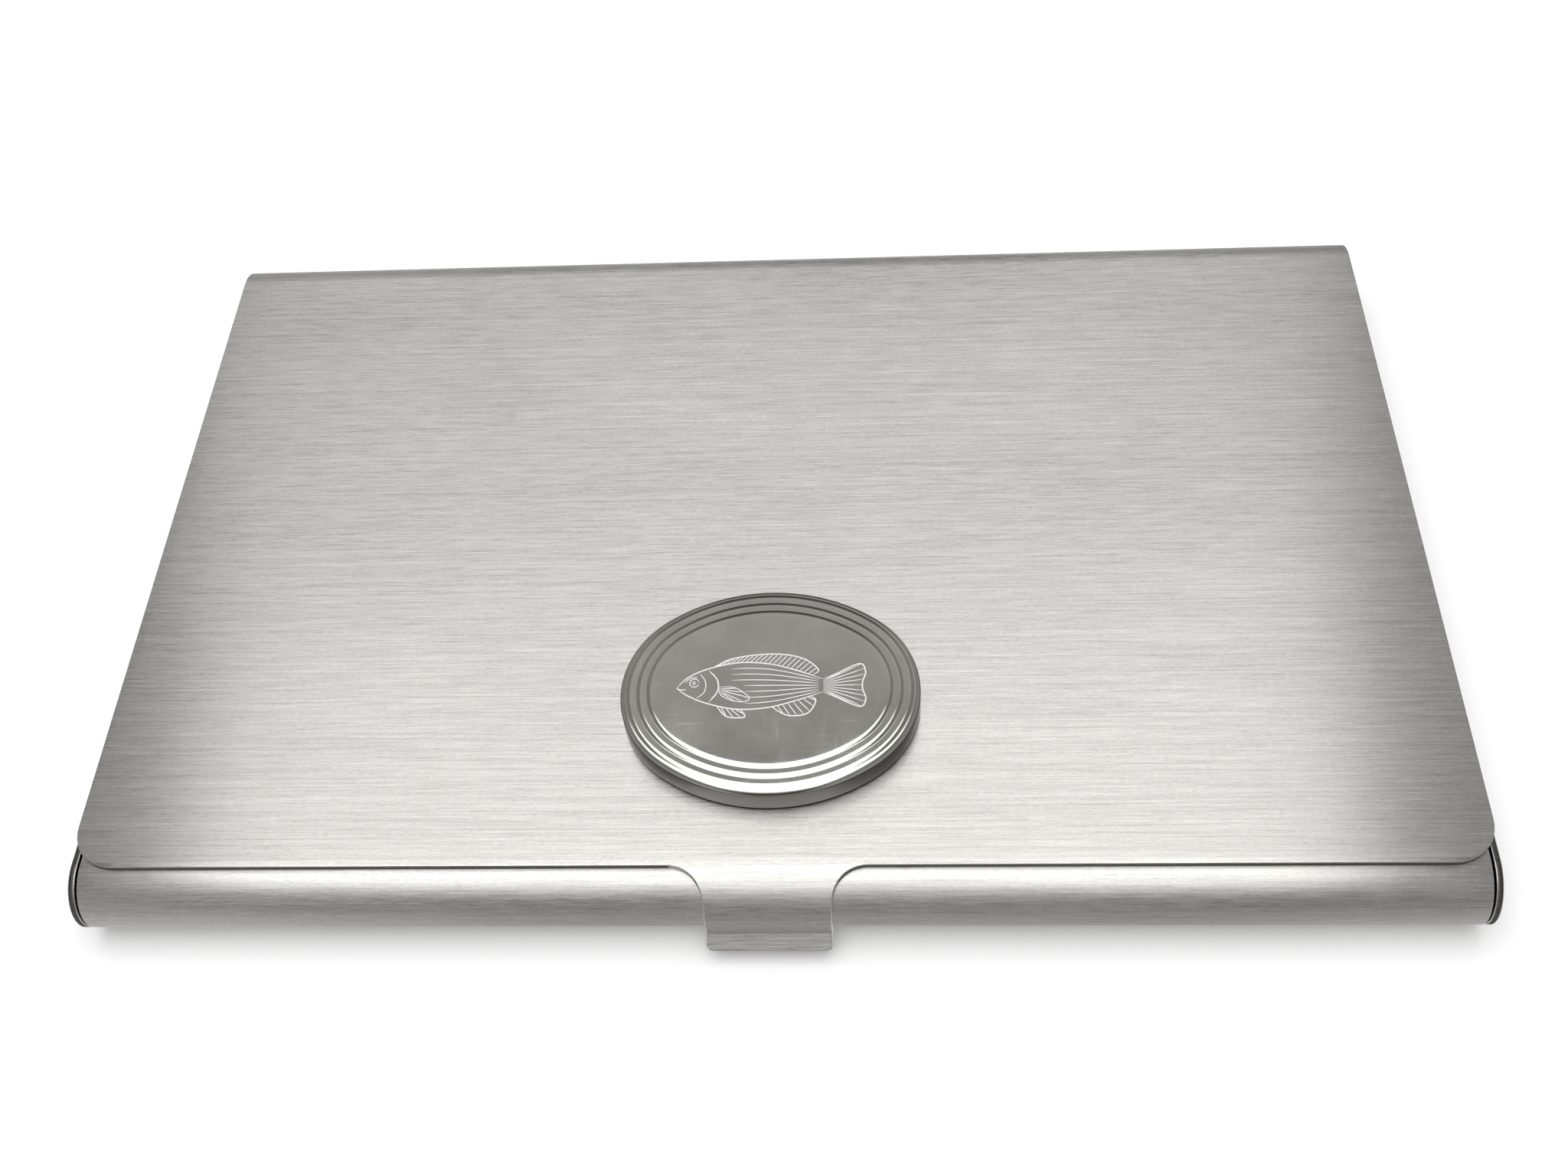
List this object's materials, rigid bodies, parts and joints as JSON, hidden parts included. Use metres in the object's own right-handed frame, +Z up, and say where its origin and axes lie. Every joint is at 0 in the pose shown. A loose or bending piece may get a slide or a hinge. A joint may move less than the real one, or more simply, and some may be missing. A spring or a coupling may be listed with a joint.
{
  "type": "business card case",
  "caption": "Flat hinged card case folded from brushed sheet steel, with a thumb tab, a snap spring and an oval polished medallion on its lid.",
  "frame": {"origin": "under the middle of the closed case's box, in the plane of its underside", "axes": "+X across the case to the right with the thumb tab towards the viewer, +Y from the tab to the hinge, +Z up through the lid"},
  "size_m": [0.093, 0.062, 0.0089],
  "materials": {
    "brushed_sheet": "brushed across the width, satin",
    "pin_steel": "turned, satin",
    "spring_steel": "rolled, satin",
    "polished_plate": "polished, with a frosted engraving",
    "adhesive": "matt"
  },
  "bodies": {
    "tray": {"base_tray": "brushed_sheet", "hinge_pin_left": "pin_steel", "hinge_pin_right": "pin_steel", "snap_spring": "spring_steel", "spring_rivet_left": "pin_steel", "spring_rivet_right": "pin_steel"},
    "lid": {"lid_shell": "brushed_sheet", "medallion": "polished_plate", "medallion_adhesive": "adhesive"}
  },
  "joints": [
    {"name": "lid_hinge", "type": "hinge", "parent": "tray", "child": "lid", "pos_m": [0, 0.0278, 0.00317], "axis": [-1, 0, 0], "range_deg": [0, 110]}
  ]
}
